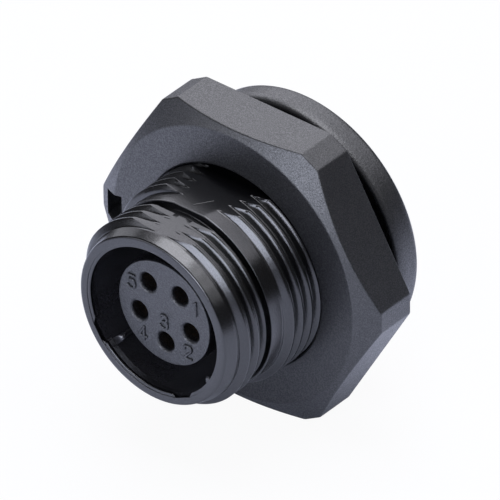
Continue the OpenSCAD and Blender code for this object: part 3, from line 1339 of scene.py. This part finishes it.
@dataclass
class SocketContacts:
    """Five turned contacts: slotted socket, collar and solder cup with an open side."""

    holes: HoleRing = HoleRing()
    front: float = -12.46
    collar: Pair = (-3.9, -3.1)
    tail: float = 6.45
    socket_r: float = 0.85
    bore_r: float = 0.48
    bore_depth: float = 6.0
    bore_cone: float = 0.15
    slot_w: float = 0.25
    slot_len: float = 4.0
    collar_r: float = 1.1
    cup_r: float = 0.8
    cup_bore_r: float = 0.45
    cup_depth: float = 2.2
    cut_len: float = 1.65
    columns: int = 64
    side_gap: float = 0.012

    def contact(self) -> Array:
        """Rings of a contact about its own axis, from the socket's bottom over the outside to the cup's.

        The columns come in pairs at the sides of the slots and of the cup's open half. In the slots the
        front lies further back, and over the cup's open half its end lies further forward.

        Returns:
            Rows, columns and coordinates.
        """
        half = math.asin(self.slot_w / 2 / self.socket_r)
        sides = [middle + side for middle in (QUARTER, -QUARTER) for side in (half, -half)] + [0.0, math.pi]
        pairs = [place + gap for place in sides for gap in (-self.side_gap, self.side_gap)]
        angle = in_turn(np.concatenate([np.linspace(0.0, TAU, self.columns, endpoint=False), pairs]))
        slotted = np.abs(np.abs(signed(angle)) - QUARTER) < half
        front = np.where(slotted, self.front + self.slot_len, self.front)
        end = np.where(np.sin(angle) > 0.0, self.tail - self.cut_len, self.tail)
        collar_front, collar_back = self.collar
        socket_floor, cup_floor = self.front + self.bore_depth, self.tail - self.cup_depth
        corners = [
            (0.0, socket_floor + self.bore_cone),
            (self.bore_r, socket_floor, 0.05),
            (self.bore_r, front, 0.09),
            (self.socket_r, front, 0.09),
            (self.socket_r, collar_front, 0.05, 2),
            (self.collar_r, collar_front, 0.1),
            (self.collar_r, collar_back, 0.1),
            (self.cup_r, collar_back, 0.05, 2),
            (self.cup_r, end, 0.08),
            (self.cup_bore_r, end, 0.08),
            (self.cup_bore_r, cup_floor, 0.05, 2),
            (0.0, cup_floor - self.bore_cone),
        ]
        rings, _ = section_rings(corner_turns(angle, corners), closed=False)
        return rings

    def build(self, finish: Material) -> None:
        """Makes the five contacts in their finish.

        Each is turned so that its cup opens outwards, and moved to its hole.

        Args:
            finish: The contacts' material.
        """
        rings = self.contact()
        for number in self.holes.numbers():
            turn = self.holes.angle(number)
            placed = spun(rings, turn - QUARTER) + about_axis(turn, self.holes.circle_r, 0.0)
            hand_over(Surface([placed]).piece(f"socket_{number}"), finish, f"contact_{number}")


@dataclass(frozen=True)
class Softbox:
    """A large soft lamp.

    Attributes:
        name: The lamp's name.
        towards: Direction from the object to the lamp.
        away: Distance in millimetres.
        size: Width and height in millimetres.
        glow: Brightness of its face, where 1 is white.
        tint: Its colour.
    """

    name: str
    towards: Triple
    away: float
    size: Pair
    glow: float
    tint: Triple = (0.97, 0.98, 1.06)

    def build(self) -> None:
        """Makes the lamp; its power is its face's area times pi times its brightness."""
        data = bpy.data.lights.new(self.name, "AREA")
        data.shape = "RECTANGLE"
        data.size, data.size_y = (side * MM for side in self.size)
        data.energy = math.pi * self.glow * data.size * data.size_y
        data.color = self.tint
        lamp = put_in_scene(self.name, data)
        direction = Vector(self.towards).normalized()
        lamp.location = direction * self.away * MM
        lamp.rotation_mode = "QUATERNION"
        lamp.rotation_quaternion = direction.to_track_quat("Z", "Y")


@dataclass
class Studio:
    """A white floor that the nut stands on, with a painted pool of light in its matte colour, soft lamps and
    a long lens.
    """

    floor_z: float = -11.69
    floor_half: float = 1500.0
    # The floor's matte colour near the object and far from it: a painted pool of light
    painted_pool_near: Triple = (0.80, 0.84, 0.98)
    painted_pool_far: Triple = (0.1, 0.1, 0.11)
    painted_pool_fade: Pair = (60.0, 110.0)
    target: Triple = (0.0, -4.61, 0.22)
    right: Triple = (0.7700, 0.6374, -0.0269)
    upward: Triple = (-0.3425, 0.4485, 0.8256)
    away: float = 1000.0
    pixels_per_mm: float = 14.1
    picture: float = 500.0
    sensor: float = 36.0
    softboxes: tuple[Softbox, ...] = (
        Softbox("front_key", (0.0, -0.972, 0.212), 400.0, (250.0, 172.0), 5.2, (0.9, 0.95, 1.13)),
        Softbox("front_left", (-0.56, -0.8, 0.2), 400.0, (200.0, 160.0), 1.4, (0.93, 0.96, 1.09)),
        Softbox("camera_side", (0.36, -0.78, 0.51), 450.0, (160.0, 120.0), 3.0, (0.95, 0.97, 1.08)),
        Softbox("left_back", (-0.52, 0.63, 0.57), 400.0, (340.0, 380.0), 1.5, (0.96, 0.965, 1.07)),
        Softbox("left_low", (-0.88, 0.33, 0.3), 400.0, (200.0, 230.0), 0.9, (0.95, 0.965, 1.07)),
        Softbox("right_back", (0.3, 0.61, 0.73), 400.0, (270.0, 270.0), 1.35, (0.96, 0.965, 1.07)),
        Softbox("over_box", (-0.1, 0.08, 1.0), 450.0, (270.0, 330.0), 4.3),
        Softbox("over_right", (0.36, 0.05, 0.93), 450.0, (150.0, 170.0), 1.75),
        Softbox("right_mid", (0.62, 0.05, 0.78), 450.0, (150.0, 170.0), 1.4),
        Softbox("right_low", (0.82, 0.05, 0.57), 450.0, (130.0, 170.0), 0.8),
    )
    level: float = 0.06
    camera_white: float = 0.94
    gloss_white: float = 0.03

    def camera(self) -> None:
        """Makes the camera with the photograph's own axes."""
        data = bpy.data.cameras.new("long_lens")
        data.sensor_width = self.sensor
        data.lens = self.pixels_per_mm * self.away * self.sensor / self.picture
        data.clip_start, data.clip_end = 0.05, 10.0
        right = Vector(self.right).normalized()
        upward = (Vector(self.upward) - right * right.dot(Vector(self.upward))).normalized()
        back = right.cross(upward)
        made = put_in_scene("long_lens", data)
        axes = Matrix((right, upward, back)).transposed().to_4x4()
        made.matrix_world = Matrix.Translation((Vector(self.target) + back * self.away) * MM) @ axes
        bpy.context.scene.camera = made

    def floor(self) -> None:
        """Makes the floor, whose own white shows most to the camera and a little in gloss; its matte colour
        is a painted pool of light, pale near the object and dark further out.
        """
        half, z = self.floor_half, self.floor_z
        corners = np.array([[-half, -half, z], [half, -half, z], [half, half, z], [-half, half, z]])
        mesh = bpy.data.meshes.new("pale_floor")
        mesh.from_pydata((corners * MM).tolist(), [], [[0, 1, 2, 3]])
        material, graph = blank_material("pale_floor")
        # Painted pool of light: the matte colour fades from pale to dark between the two distances from the
        # object
        past = graph.share(graph.length(graph.place()), *(edge * MM for edge in self.painted_pool_fade))
        tone = graph.tint(past, self.painted_pool_near, self.painted_pool_far)
        matte = graph.node("ShaderNodeBsdfDiffuse", {"Color": tone})
        glow = graph.node("ShaderNodeEmission", {"Color": WHITE, "Strength": 1.0})
        camera, glossy, through = (graph.ray(kind) for kind in ("Camera", "Glossy", "Transmission"))
        seen = self.camera_white * camera + self.gloss_white * (glossy + through)
        graph.show(graph.mix(graph.math("MINIMUM", seen, 1.0), matte, glow))
        mesh.materials.append(material)
        made = put_in_scene("pale_floor", mesh)

    def world(self) -> None:
        """Makes the surroundings: white where they are seen straight, dim as light."""
        made = bpy.data.worlds.new("studio")
        made.use_nodes = True
        graph = Graph(made.node_tree)
        dim, white = (
            graph.node("ShaderNodeBackground", {"Color": WHITE, "Strength": strength})
            for strength in (self.level, 1.0)
        )
        graph.show(graph.mix(graph.ray("Camera"), dim, white), "World")
        bpy.context.scene.world = made

    def build(self) -> None:
        """Sets up the view, the floor and the light."""
        bpy.context.scene.view_settings.view_transform = "Standard"
        self.camera()
        self.floor()
        self.world()
        for box in self.softboxes:
            box.build()


def main() -> None:
    """Builds the pieces in order."""
    logging.basicConfig(level=logging.INFO, format="%(message)s")
    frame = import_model()
    Studio().build()
    satin = MouldedPlastic(
        "satin_black_plastic", dark=(0.0015, 0.0015, 0.002), light=(0.003, 0.0031, 0.004),
        gloss=(0.19, 0.26), grain=0.10, depth=0.003, waves=0.003, specular=1.0, sparkle=0.35,
    )
    # The satin made much lighter inside the nose's bore: painted light that lifts the shadowed cavity to a
    # dim grey
    bore = replace(satin, dark=(0.031, 0.031, 0.036), light=(0.044, 0.044, 0.05))
    grained = MouldedPlastic(
        "grained_black_plastic", dark=(0.003, 0.0031, 0.004), light=(0.006, 0.0063, 0.008),
        gloss=(0.35, 0.48), grain=0.11, depth=0.018, waves=0.002, specular=1.0, sparkle=1.0,
    )
    pale = MouldedPlastic(
        "grey_insulator", dark=(0.013, 0.014, 0.016), light=(0.042, 0.044, 0.049),
        gloss=(0.28, 0.42), grain=0.12, depth=0.045, waves=0.004, specular=0.75, sparkle=0.8,
    )
    # The insert's grey darkened behind its face: painted shade down the holes, also over its sides and back
    deep = replace(pale, dark=(0.004, 0.004, 0.005), light=(0.008, 0.008, 0.01))
    rubber = MouldedPlastic(
        "black_rubber", dark=(0.012, 0.012, 0.013), light=(0.022, 0.022, 0.023),
        gloss=(0.62, 0.8), grain=0.15, depth=0.008,
    ).material()
    insert = ContactInsert()
    shade_painted_insulator = ZonedPlastic(
        "insulator_painted_shade", nose=pale, rear=deep, bore=pale, seam=insert.face + 0.2, bore_r=0.0, blend=0.15
    )
    moulding = ZonedPlastic("moulded_black_plastic", nose=satin, rear=grained, bore=bore)
    ThreadedShell().build(moulding.material())
    PanelNut().build(grained.material())
    insert.build(shade_painted_insulator.material())
    RearParts().build(pale.material(), satin.material(), rubber)
    SocketContacts().build(GoldPlate().material())
    seal = frame["nodes"]["insert_seal"]
    seal.data.materials.clear()
    seal.data.materials.append(rubber)
    LOG.info("%s dressed", seal.name)


if __name__ == "__main__":
    main()
